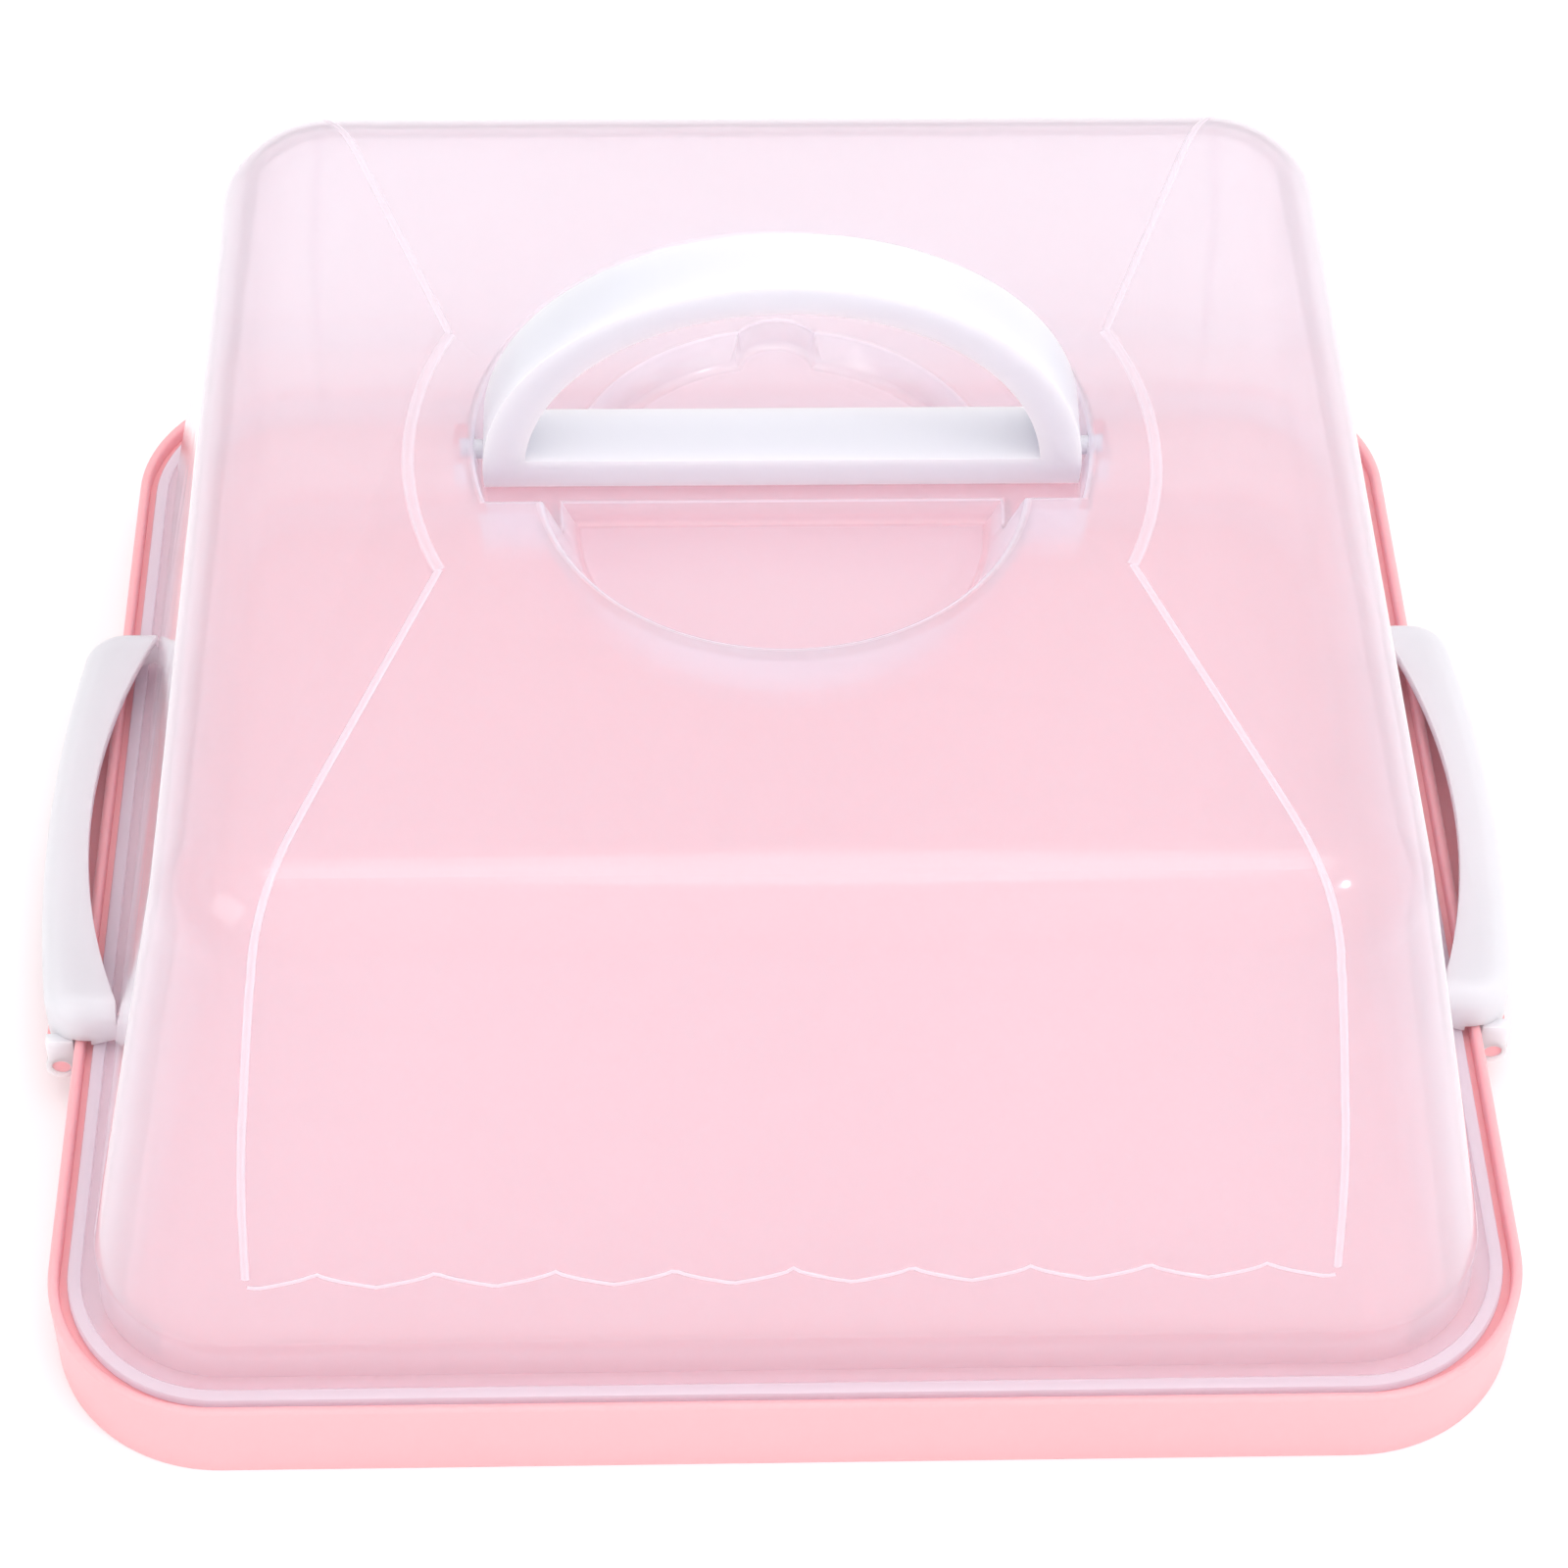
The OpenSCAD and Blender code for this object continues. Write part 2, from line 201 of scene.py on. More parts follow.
@dataclass(frozen=True)
class ClearMouldedPlastic:
    """Clear polypropylene with a faint lavender cast, moulded in a polished tool.

    It is never as clear as glass: part of the light passes straight, part bends at
    the curved edges, and a little scatters in the wall, most where the wall is seen
    edge-on.  A per-point mark adds more white milk along its raised lines and rims:
    partly that haze, partly a painted highlight for the bright edge reflections
    there.  The wall flows a little uneven in the mould, so what lies behind it
    wavers slightly.
    """

    name: str
    tint: str
    milk: str
    roughness: float = 0.1
    ior: float = 1.12
    straight: float = 0.55
    haze: float = 0.27
    edge_haze: float = 0.85
    edge_power: float = 2.6
    marked_milk_and_highlight: float = 0.55
    skin: float = 0.035
    edge_skin: float = 1.0
    skin_power: float = 5.0
    ripple_mm: float = 14.0
    ripple_depth_mm: float = 0.12

    def _by_angle(
        self, tree: bpy.types.NodeTree, power: float, low: float, high: float
    ) -> bpy.types.NodeSocket:
        """Add a factor that grows from low, face-on, to high, edge-on.

        Args:
            tree: Tree that gets the nodes.
            power: How late it grows.
            low: Factor where the wall faces the eye.
            high: Factor where it is seen edge-on.

        Returns:
            The factor.
        """
        facing = add_node(tree, "LayerWeight", {"Blend": 0.5}).outputs["Facing"]
        late = add_node(tree, "Math", {"operation": "POWER", 0: facing, 1: power})
        spread = add_node(tree, "MapRange", {"To Min": low, "To Max": high, "Value": late})
        return spread.outputs["Result"]

    def material(self) -> bpy.types.Material:
        """Build the node material.

        Returns:
            The finished material.
        """
        material, tree = new_tree(self.name)
        tint, milk_and_highlight_white = to_linear(self.tint), to_linear(self.milk)
        place = add_node(tree, "TexCoord").outputs["Object"]
        scale = per_metre(self.ripple_mm)
        ripple = add_node(tree, "TexNoise", {"Scale": scale, "Detail": 1.0, "Vector": place})
        depth = self.ripple_depth_mm * MM
        bump = add_node(tree, "Bump", {"Strength": 1.0, "Distance": depth, "Height": ripple})
        straight = add_node(tree, "BsdfTransparent", {"Color": tint})
        bend = {"Color": tint, "IOR": self.ior, "Roughness": 0.0, "Normal": bump}
        bent = add_node(tree, "BsdfRefraction", bend)
        through = add_node(tree, "MixShader", {"Fac": 1 - self.straight, 1: straight, 2: bent})
        # the per-point mark adds white milk: partly haze, partly a painted highlight along rims and
        # raised lines
        line = add_node(tree, "Attribute", {"attribute_name": MILK_AND_HIGHLIGHT_MARK}).outputs["Fac"]
        by_angle = self._by_angle(tree, self.edge_power, self.haze, self.edge_haze)
        white = {"operation": "MULTIPLY_ADD", "use_clamp": True}
        white |= {0: line, 1: self.marked_milk_and_highlight, 2: by_angle}
        near = add_node(tree, "BsdfDiffuse", {"Color": milk_and_highlight_white})
        far = add_node(tree, "BsdfTranslucent", {"Color": milk_and_highlight_white})
        milk = add_node(tree, "MixShader", {"Fac": 0.5, 1: near, 2: far})
        body = add_node(tree, "MixShader", {0: add_node(tree, "Math", white), 1: through, 2: milk})
        sheen = {"Color": (1.0, 1.0, 1.0, 1.0), "Roughness": self.roughness, "Normal": bump}
        mirror = add_node(tree, "BsdfAnisotropic", sheen)
        skin = self._by_angle(tree, self.skin_power, self.skin, self.edge_skin)
        shell = add_node(tree, "MixShader", {0: skin, 1: body, 2: mirror})
        add_node(tree, "OutputMaterial", {"Surface": shell})
        return material


@dataclass(frozen=True)
class PaperSweep:
    """White studio paper: matt, with a fibre grain far below what the frame shows."""

    name: str = "studio_paper"
    colour: str = "#f7f7f8"
    shade: str = "#f4f4f6"
    grain_mm: float = 60.0

    def material(self) -> bpy.types.Material:
        """Build the node material.

        Returns:
            The finished material.
        """
        material, tree = new_tree(self.name)
        place = add_node(tree, "TexCoord").outputs["Object"]
        scale = per_metre(self.grain_mm)
        grain = add_node(tree, "TexNoise", {"Scale": scale, "Detail": 2.0, "Vector": place})
        values = {"Roughness": 0.9, "Specular IOR Level": 0.1}
        values["Base Color"] = blend(tree, grain, self.colour, self.shade)
        shader = add_node(tree, "BsdfPrincipled", values)
        add_node(tree, "OutputMaterial", {"Surface": shader})
        return material


# pink resin: a warm salmon pink whose rims glow a little where light gets below the skin
PINK_POLYPROPYLENE = MouldedPolypropylene(
    "pink_moulded_polypropylene",
    "#f5b2b7",
    "#f3aeb3",
    scatter=0.4,
    scatter_mm=2.5,
    scatter_spread=(1.0, 0.45, 0.45),
)
# white resin: a cool, soft white, a little more see-through than the pink
WHITE_POLYPROPYLENE = MouldedPolypropylene(
    "white_moulded_polypropylene",
    "#dadae0",
    "#d7d7de",
    roughness=0.32,
    scatter=0.9,
    scatter_mm=9.0,
    scatter_spread=(1.0, 1.0, 1.0),
)
# lid: clear, with a faint lavender milkiness; the extra white drawn on its rims and raised lines is
# partly haze and partly painted highlight
CLEAR_PLASTIC = ClearMouldedPlastic("clear_moulded_plastic", "#fefdfe", "#f7f4fc")


# ---------------------------------------------------------------- the bench
def deselect() -> None:
    """Leave nothing selected and nothing in edit mode."""
    if bpy.context.object is not None and bpy.context.object.mode != "OBJECT":
        bpy.ops.object.mode_set(mode="OBJECT")
    bpy.ops.object.select_all(action="DESELECT")


def hold(obj: bpy.types.Object) -> None:
    """Select obj alone and make it the active one."""
    deselect()
    obj.select_set(True)
    bpy.context.view_layer.objects.active = obj


class Workpiece:
    """A mesh on the bench, drawn in millimetres and shaped with the edit tools."""

    def __init__(self, obj: bpy.types.Object) -> None:
        """Take obj onto the bench."""
        self.obj = obj

    # -- primitives
    @classmethod
    def block(cls, name: str, low: Sequence[float], high: Sequence[float]) -> "Workpiece":
        """Add a block between two corners.

        Args:
            name: Name of the piece.
            low: Lowest corner.
            high: Highest corner.

        Returns:
            The new piece.
        """
        deselect()
        centre = [(a + b) / 2 for a, b in zip(low, high)]
        size = [b - a for a, b in zip(low, high)]
        bpy.ops.mesh.primitive_cube_add(size=1, location=centre, scale=size)
        return cls._taken(name)

    @classmethod
    def cone(
        cls,
        name: str,
        centre: tuple[float, float],
        low: tuple[float, float],
        high: tuple[float, float],
        sides: int = 160,
    ) -> "Workpiece":
        """Add an upright cone or cylinder.

        Args:
            name: Name of the piece.
            centre: X and Y of its axis.
            low: Radius and height of the lower end.
            high: Radius and height of the upper end.
            sides: Number of its sides.

        Returns:
            The new piece.
        """
        deselect()
        bpy.ops.mesh.primitive_cone_add(
            vertices=sides,
            radius1=low[0],
            radius2=high[0],
            depth=high[1] - low[1],
            location=(centre[0], centre[1], (low[1] + high[1]) / 2),
        )
        return cls._taken(name)

    @classmethod
    def rod(
        cls,
        name: str,
        centre: Sequence[float],
        radius: float,
        length: float,
        axis: str,
        sides: int = 48,
    ) -> "Workpiece":
        """Add a round rod that lies along X, Y or Z.

        Args:
            name: Name of the piece.
            centre: Its middle.
            radius: Its radius.
            length: Its length.
            axis: "X", "Y" or "Z".
            sides: Number of its sides.

        Returns:
            The new piece.
        """
        deselect()
        turn = {"X": (0, math.pi / 2, 0), "Y": (math.pi / 2, 0, 0), "Z": (0, 0, 0)}
        bpy.ops.mesh.primitive_cylinder_add(
            vertices=sides, radius=radius, depth=length, location=centre, rotation=turn[axis]
        )
        return cls._taken(name)

    @classmethod
    def rounded_block(
        cls, name: str, half: float, radius: float, low: float, high: float, segments: int = 20
    ) -> "Workpiece":
        """Add a square block with rounded upright edges.

        Args:
            name: Name of the piece.
            half: Half its width.
            radius: Radius of its upright edges.
            low: Height of its underside.
            high: Height of its top.
            segments: Faces round each edge.

        Returns:
            The new piece.
        """
        piece = cls.block(name, (-half, -half, low), (half, half, high))
        piece.bevel(lambda a, b: abs(a.z - b.z) > (high - low) / 2, radius, segments)
        return piece

    @classmethod
    def slab(
        cls, name: str, outline: Sequence[tuple[float, float]], low: float, high: float
    ) -> "Workpiece":
        """Add an upright slab over an outline.

        Args:
            name: Name of the piece.
            outline: X and Y of its corners, counter-clockwise seen from above.
            low: Height of its underside.
            high: Height of its top.

        Returns:
            The new piece, with its top face picked and the mesh open.
        """
        mesh = bpy.data.meshes.new(name)
        mesh.from_pydata([(x, y, low) for x, y in outline], [], [range(len(outline))])
        obj = bpy.data.objects.new(name, mesh)
        bpy.context.scene.collection.objects.link(obj)
        piece = cls(obj)
        piece._edit("FACE")
        bpy.ops.mesh.select_all(action="SELECT")
        piece.draw_out([(0, high - low)])
        return piece

    @classmethod
    def _taken(cls, name: str) -> "Workpiece":
        """Name the primitive just added and put its place in its mesh."""
        obj = bpy.context.object
        obj.name = obj.data.name = name
        bpy.ops.object.transform_apply(location=True, rotation=True, scale=True)
        return cls(obj)

    # -- picking
    def _edit(self, mode: str) -> bmesh.types.BMesh:
        """Open the mesh for editing in a select mode, with nothing selected."""
        hold(self.obj)
        bpy.ops.object.mode_set(mode="EDIT")
        bpy.ops.mesh.select_mode(type=mode)
        bpy.ops.mesh.select_all(action="DESELECT")
        return bmesh.from_edit_mesh(self.obj.data)

    def pick_faces(self, test: Callable[[Vector, Vector], bool]) -> None:
        """Open the mesh and select the faces whose centre and normal pass test."""
        mesh = self._edit("FACE")
        for face in mesh.faces:
            face.select_set(test(face.calc_center_median(), face.normal))
        bmesh.update_edit_mesh(self.obj.data)

    def pick_edges(self, test: Callable[[Vector, Vector], bool], sharp: float = 0.0) -> None:
        """Open the mesh and select edges.

        Args:
            test: Takes the two ends of an edge.
            sharp: Least angle in degrees between the faces beside the edge.
        """
        mesh = self._edit("EDGE")
        least = math.radians(sharp)
        for edge in mesh.edges:
            bent = sharp == 0.0 or edge.calc_face_angle(0.0) > least
            edge.select_set(bent and test(edge.verts[0].co, edge.verts[1].co))
        bmesh.update_edit_mesh(self.obj.data)

    def close(self) -> None:
        """Leave edit mode."""
        bpy.ops.object.mode_set(mode="OBJECT")

    # -- shaping
    def bevel(
        self, test: Callable[[Vector, Vector], bool], width: float, segments: int, sharp: float = 0.0
    ) -> None:
        """Round the edges that pass test.

        Args:
            test: Takes the two ends of an edge.
            width: Width of the rounding.
            segments: Faces across it.
            sharp: Least angle in degrees between the faces beside an edge.
        """
        self.pick_edges(test, sharp)
        bpy.ops.mesh.bevel(
            offset=width,
            offset_type="OFFSET",
            segments=segments,
            profile=0.5,
            affect="EDGES",
            clamp_overlap=False,
        )
        self.close()

    def draw_out(self, steps: Iterable[tuple[float, float]]) -> None:
        """Carry the selected face on through rings that shrink and rise.

        The face must be picked first, and stays picked for the next call.

        Args:
            steps: Shrink and rise of each ring; a ring with no shrink goes straight.
        """
        for shrink, rise in steps:
            if abs(shrink) > 1e-6:
                bpy.ops.mesh.inset(thickness=shrink, depth=0.0, use_even_offset=True)
                if abs(rise) > 1e-9:
                    bpy.ops.transform.translate(value=(0, 0, rise))
            else:
                bpy.ops.mesh.extrude_region_move(TRANSFORM_OT_translate={"value": (0, 0, rise)})

    def taper(self, scale: float, rise: float) -> None:
        """Carry the selected face up by rise, scaled in plan about the middle."""
        bpy.ops.mesh.extrude_region_move(TRANSFORM_OT_translate={"value": (0, 0, rise)})
        bpy.ops.transform.resize(value=(scale, scale, 1), center_override=(0, 0, 0))

    def bisect(self, point: Sequence[float], normal: Sequence[float]) -> None:
        """Cut off what lies on the side that normal points to, and close the cut."""
        self._edit("FACE")
        bpy.ops.mesh.select_all(action="SELECT")
        bpy.ops.mesh.bisect(plane_co=point, plane_no=normal, use_fill=True, clear_outer=True)
        self.close()

    def weld(self, reach: float = 0.0005) -> None:
        """Merge points closer than reach and turn all faces outwards."""
        self._edit("VERT")
        bpy.ops.mesh.select_all(action="SELECT")
        bpy.ops.mesh.remove_doubles(threshold=reach)
        bpy.ops.mesh.normals_make_consistent(inside=False)
        self.close()

    def combine(self, other: "Workpiece", mode: Mode) -> None:
        """Join, cut or intersect with another piece, which is used up.

        Args:
            other: The other piece.
            mode: What it does.

        Raises:
            RuntimeError: If nothing is left of the piece.
        """
        hold(self.obj)
        before = self.obj.data.copy()
        for own_crossings in (False, True):
            self.obj.data = before.copy()
            tool = self.obj.modifiers.new(mode.name, "BOOLEAN")
            tool.operation = mode.value
            tool.solver = "EXACT"
            tool.use_self = own_crossings
            tool.object = other.obj
            bpy.ops.object.modifier_apply(modifier=tool.name)
            if self.obj.data.polygons:
                break
        bpy.data.meshes.remove(before)
        if not self.obj.data.polygons:
            raise RuntimeError(f"{other.obj.name} leaves nothing of {self.obj.name}")
        bpy.data.objects.remove(other.obj)

    def soften(self, width: float, segments: int, angle: float) -> None:
        """Round every edge sharper than angle degrees with a bevel modifier."""
        hold(self.obj)
        tool = self.obj.modifiers.new("soften", "BEVEL")
        tool.width = width
        tool.segments = segments
        tool.limit_method = "ANGLE"
        tool.angle_limit = math.radians(angle)
        tool.use_clamp_overlap = True
        tool.miter_outer = "MITER_ARC"
        tool.harden_normals = False
        bpy.ops.object.modifier_apply(modifier=tool.name)

    def turn(self, pivot: Sequence[float], axis: str, degrees: float) -> None:
        """Turn the mesh about an axis through pivot."""
        spin = Matrix.Rotation(math.radians(degrees), 4, axis)
        place = Matrix.Translation(pivot)
        self.obj.data.transform(place @ spin @ place.inverted())

    def mirrored(self, name: str) -> "Workpiece":
        """Return a copy with its own mesh, mirrored across the YZ plane."""
        twin = self.obj.copy()
        twin.data = self.obj.data.copy()
        twin.name = twin.data.name = name
        bpy.context.scene.collection.objects.link(twin)
        hold(twin)
        twin.scale = (-1, 1, 1)
        bpy.ops.object.transform_apply(location=False, rotation=False, scale=True)
        return Workpiece(twin)

    def settle(
        self,
        body: str,
        slot: str,
        material: bpy.types.Material,
        nodes: Sequence[str],
        smooth: float = 35.0,
    ) -> bpy.types.Object:
        """Turn the drawing into metres, dress it and hang it on its body.

        Args:
            body: Body that carries the piece.
            slot: Material slot of the record; not used.
            material: Its finish.
            nodes: CAD nodes that it stands for.
            smooth: Edges flatter than this angle are shaded smooth.

        Returns:
            The finished object.
        """
        self.weld()
        self.obj.scale = (MM, MM, MM)
        bpy.ops.object.transform_apply(location=True, rotation=True, scale=True)
        bpy.ops.object.shade_smooth_by_angle(angle=math.radians(smooth))
        self.obj.data.materials.clear()
        self.obj.data.materials.append(material)
        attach(self.obj, body)
        if nodes:
            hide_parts(*nodes)
        LOG.info("%s: %d faces, rides on %s", self.obj.name, len(self.obj.data.polygons), body)
        deselect()
        return self.obj


def quarter(radius: float, steps: int) -> list[tuple[float, float]]:
    """Return inset and rise of the rings that round a rim, going up.

    Args:
        radius: Radius of the rounding.
        steps: Number of rings.

    Returns:
        Pairs of inset and rise.
    """
    rings = []
    for i in range(steps):
        a, b = (math.pi / 2 * k / steps for k in (i, i + 1))
        rings.append((radius * (math.cos(a) - math.cos(b)), radius * (math.sin(b) - math.sin(a))))
    return rings


# ---------------------------------------------------------------- tray
@dataclass
class Tray:
    """Square tray with an upstanding lip, a cake platform and two hinge ears."""

    half: float = 150.0
    corner: float = 36.0
    height: float = 20.5
    lip: float = 2.1
    lip_flat: float = 0.06
    wall: float = 2.4
    clear: float = 0.2
    channel: float = 17.0
    platform: float = 19.0
    platform_in: float = 19.0
    floor: float = 2.2
    rib: float = 1.8
    rib_drop: float = 3.5
    rib_root: float = 0.6
    platform_round: float = 0.8
    foot_round: float = 0.5
    rib_places: tuple[float, ...] = (-90.0, -30.0, 30.0, 90.0)
    hinge_x: float = 153.6
    hinge_z: float = 12.0
    knuckle: float = 3.9
    ear_half: float = 47.5
    pin: float = 2.0
    pin_half: float = 56.1
    pin_root: float = 3.1
    pin_root_half: float = 53.5

    def shell(self) -> Workpiece:
        """Form the dish: rim, channel, platform and hollow underside.

        Returns:
            The dish.
        """
        dish = Workpiece.rounded_block("tray", self.half, self.corner, 0, self.height, 28)
        top = self.height
        dish.pick_faces(lambda c, n: n.z > 0.9)
        dish.draw_out(
            [
                (self.lip, 0),
                (0, self.channel - top),
                (self.platform_in - self.lip, 0),
                (0, self.platform - self.channel),
            ]
        )
        dish.close()
        dish.pick_faces(lambda c, n: n.z < -0.9)
        dish.draw_out(
            [
                (self.wall, 0),
                (0, self.channel - self.floor),
                (self.platform_in - self.clear, 0),
                (0, self.platform - self.channel),
            ]
        )
        dish.close()
        dish.bevel(lambda a, b: min(a.z, b.z) > top - 0.01, self.lip / 2 - self.lip_flat, 5)
        dish.bevel(
            lambda a, b: abs(a.z - self.platform) < 0.01 and abs(b.z - self.platform) < 0.01,
            self.platform_round,
            4,
        )
        dish.bevel(lambda a, b: max(a.z, b.z) < 0.01, self.foot_round, 3)
        return dish

    def ribs(self) -> Workpiece:
        """Form the shallow ribs below the floor.

        Returns:
            One grid of ribs.
        """
        low = self.channel - self.floor - self.rib_drop
        reach = self.half - self.lip - self.clear
        grid = None
        for place in self.rib_places:
            for across in (False, True):
                a, b = (-reach, reach), (place - self.rib / 2, place + self.rib / 2)
                x, y = (b, a) if across else (a, b)
                bar = Workpiece.block(
                    "rib", (x[0], y[0], low), (x[1], y[1], self.channel - self.floor + self.rib_root)
                )
                if grid is None:
                    grid = bar
                else:
                    grid.combine(bar, Mode.JOIN)
        return grid

    def ear(self, side: Side) -> Workpiece:
        """Form the hinge ear of one clip with its pins.

        Args:
            side: Side it stands on.

        Returns:
            The ear.
        """
        axis = (side.value * self.hinge_x, 0, self.hinge_z)
        ear = Workpiece.rod("ear", axis, self.knuckle, 2 * self.ear_half, "Y")
        inner = side.value * (self.half - 1)
        web = Workpiece.block(
            "web",
            (min(inner, axis[0]), -self.ear_half, self.hinge_z - self.knuckle),
            (max(inner, axis[0]), self.ear_half, self.hinge_z + self.knuckle),
        )
        ear.combine(web, Mode.JOIN)
        for radius, half in ((self.pin_root, self.pin_root_half), (self.pin, self.pin_half)):
            ear.combine(Workpiece.rod("pin", axis, radius, 2 * half, "Y"), Mode.JOIN)
        return ear

    def build(self, finish: MouldedPolypropylene) -> bpy.types.Object:
        """Make the tray and hang it on its body.

        Args:
            finish: Its plastic.

        Returns:
            The tray.
        """
        tray = self.shell()
        tray.combine(self.ribs(), Mode.JOIN)
        for side in Side:
            tray.combine(self.ear(side), Mode.JOIN)
        return tray.settle("tray", "tray_plastic", finish.material(), ["base_tray"])


# ---------------------------------------------------------------- lid
@dataclass
class Dome:
    """Drafted dome with a rounded edge, solid, seen from outside or inside."""

    foot_half: float = 140.3
    foot_radius: float = 28.0
    collar_half: float = 139.8
    collar: float = 29.5
    crown_half: float = 101.0
    crown_radius: float = 20.0
    top: float = 136.0
    first_angle: float = 12.0
    angle_step: float = 6.0
    flat_edge: float = 1.5
    crease: tuple[float, float] = (0.03, 0.8)
    wall_rings: tuple[float, ...] = (0.012, 0.04, 0.3, 0.6, 0.93, 0.985, 1.0)

    def form(self, name: str, wall: float, low: float) -> Workpiece:
        """Form the solid dome.

        Args:
            name: Name of the piece.
            wall: Inset of its surface; none for the outside.
            low: Height of its underside.

        Returns:
            The solid.
        """
        radius = self.crown_radius - wall
        middle = self.top - self.crown_radius
        collar_z = self.collar - 0.2 * wall
        half, height = self.foot_half - wall, low + 0.5
        dome = Workpiece.rounded_block(name, half, self.foot_radius - wall, low, height)
        dome.pick_faces(lambda c, n: n.z > 0.9)
        first = math.radians(self.first_angle)
        crown = (self.crown_half + radius * math.cos(first), middle + radius * math.sin(first))
        collar = (self.collar_half - wall, collar_z)
        rings = [(collar[0] + self.crease[0], collar_z - self.crease[1]), collar]
        for share in self.wall_rings:
            rings.append(
                (collar[0] + (crown[0] - collar[0]) * share, collar[1] + (crown[1] - collar[1]) * share)
            )
        for ring in rings:
            dome.taper(ring[0] / half, ring[1] - height)
            half, height = ring
        steps = round((90 - self.first_angle) / self.angle_step)
        for i in range(1, steps + 1):
            angle = math.radians(self.first_angle + i * self.angle_step)
            ring = (self.crown_half + radius * math.cos(angle), middle + radius * math.sin(angle))
            dome.draw_out([(half - ring[0], ring[1] - height)])
            half, height = ring
        dome.draw_out([(self.flat_edge, 0)])
        dome.close()
        return dome


@dataclass
class HandleRecess:
    """D-shaped hollow in the lid's top, with two finger wells and a bridge."""

    top: float = 136.0
    centre_y: float = 6.5
    radius: float = 62.3
    front_edge: float = -11.8
    ledge: float = 125.6
    floor: float = 119.5
    front_well: float = 49.0
    front_well_floor: float = 42.0
    front_well_y: float = -4.0
    back_well: float = 43.8
    back_well_floor: float = 39.5
    pocket_y: float = 43.0
    pocket: float = 10.3
    pocket_floor: float = 8.7
    bridge_front: float = -1.2
    bridge_back: float = 14.0
    rim: float = 1.3
    ledge_rim: float = 0.6
    fillet: float = 1.4
    boss: tuple[float, float] = (62.0, 66.3)
    boss_y: tuple[float, float] = (0.5, 12.5)
    axis_z: float = 132.7
    bore: float = 2.08
    bore_x: float = 61.0
    bore_length: float = 8.4
    reach: float = 76.0

    def _hollow(
        self,
        name: str,
        centre_y: float,
        radii: tuple[float, float],
        heights: tuple[float, float],
        edge: tuple[float, int] | None,
        grow: float,
    ) -> Workpiece:
        """Form one round hollow with a drafted wall and a filleted floor.

        Args:
            name: Name of the piece.
            centre_y: Y of its middle.
            radii: Radius at its rim and at its floor.
            heights: Height of its rim and of its floor.
            edge: Y of its straight edge and the side that is kept, or None.
            grow: How far all surfaces lie outside the hollow's own.

        Returns:
            The solid that fills the hollow.
        """
        draft = (radii[0] - radii[1]) / (heights[0] - heights[1])
        low, high = heights[1] - grow, heights[0] + (9.0 if grow else 1.5)
        high -= (self.radius - radii[0]) / 40
        tool = Workpiece.cone(
            name,
            (0, centre_y),
            (radii[1] + grow, low),
            (radii[1] + grow + draft * (high - low), high),
            128,
        )
        if edge is not None:
            place, keep = edge
            tool.bisect((0, place - keep * grow, 0), (0, -keep, 0))
            tool.weld(0.9)
        tool.bevel(lambda a, b: max(a.z, b.z) < low + 0.01, self.fillet, 5)
        return tool

    def solid(self, grow: float = 0.0) -> Workpiece:
        """Form all that the recess takes out of the lid, or the tub round it.

        Args:
            grow: Wall thickness of the tub; none for the recess itself.

        Returns:
            The solid.
        """
        main = self._hollow(
            "recess",
            self.centre_y,
            (self.radius, self.radius - 1.2),
            (self.top, self.ledge),
            (self.front_edge, 1),
            grow,
        )
        front = self._hollow(
            "front_well",
            self.front_well_y,
            (self.front_well, self.front_well_floor),
            (self.top, self.floor),
            (self.bridge_front, -1),
            grow,
        )
        back = self._hollow(
            "back_well",
            self.centre_y,
            (self.back_well, self.back_well_floor),
            (self.ledge, self.floor),
            (self.bridge_back, 1),
            grow,
        )
        pocket = self._hollow(
            "pocket",
            self.pocket_y,
            (self.pocket, self.pocket_floor),
            (self.ledge, self.floor),
            None,
            grow,
        )
        for part in (back, pocket):
            part.bisect((0, 0, self.ledge + 0.4), (0, 0, 1))
        for part in (front, back, pocket):
            main.combine(part, Mode.JOIN)
        if grow:
            for side in Side:
                x = sorted(side.value * b for b in self.boss)
                boss = Workpiece.block(
                    "boss",
                    (x[0], self.boss_y[0], self.axis_z - 5),
                    (x[1], self.boss_y[1], self.top + 8),
                )
                main.combine(boss, Mode.JOIN)
        else:
            main.bevel(
                lambda a, b: abs(a.z - self.ledge) < 0.01 and abs(b.z - self.ledge) < 0.01,
                self.ledge_rim,
                4,
                sharp=30,
            )
        return main

    def round_rim(self, lid: Workpiece) -> None:
        """Round the rim of the recess where it meets the lid's top."""
        lid.bevel(
            lambda a, b: abs(a.z - self.top) < 0.02
            and abs(b.z - self.top) < 0.02
            and max(a.xy.length, b.xy.length) < self.reach,
            self.rim,
            4,
            sharp=30,
        )

    def bores(self) -> Iterable[Workpiece]:
        """Yield the bores of the two handle pins."""
        for side in Side:
            yield Workpiece.rod(
                "bore",
                (side.value * self.bore_x, self.centre_y, self.axis_z),
                self.bore,
                self.bore_length,
                "X",
            )


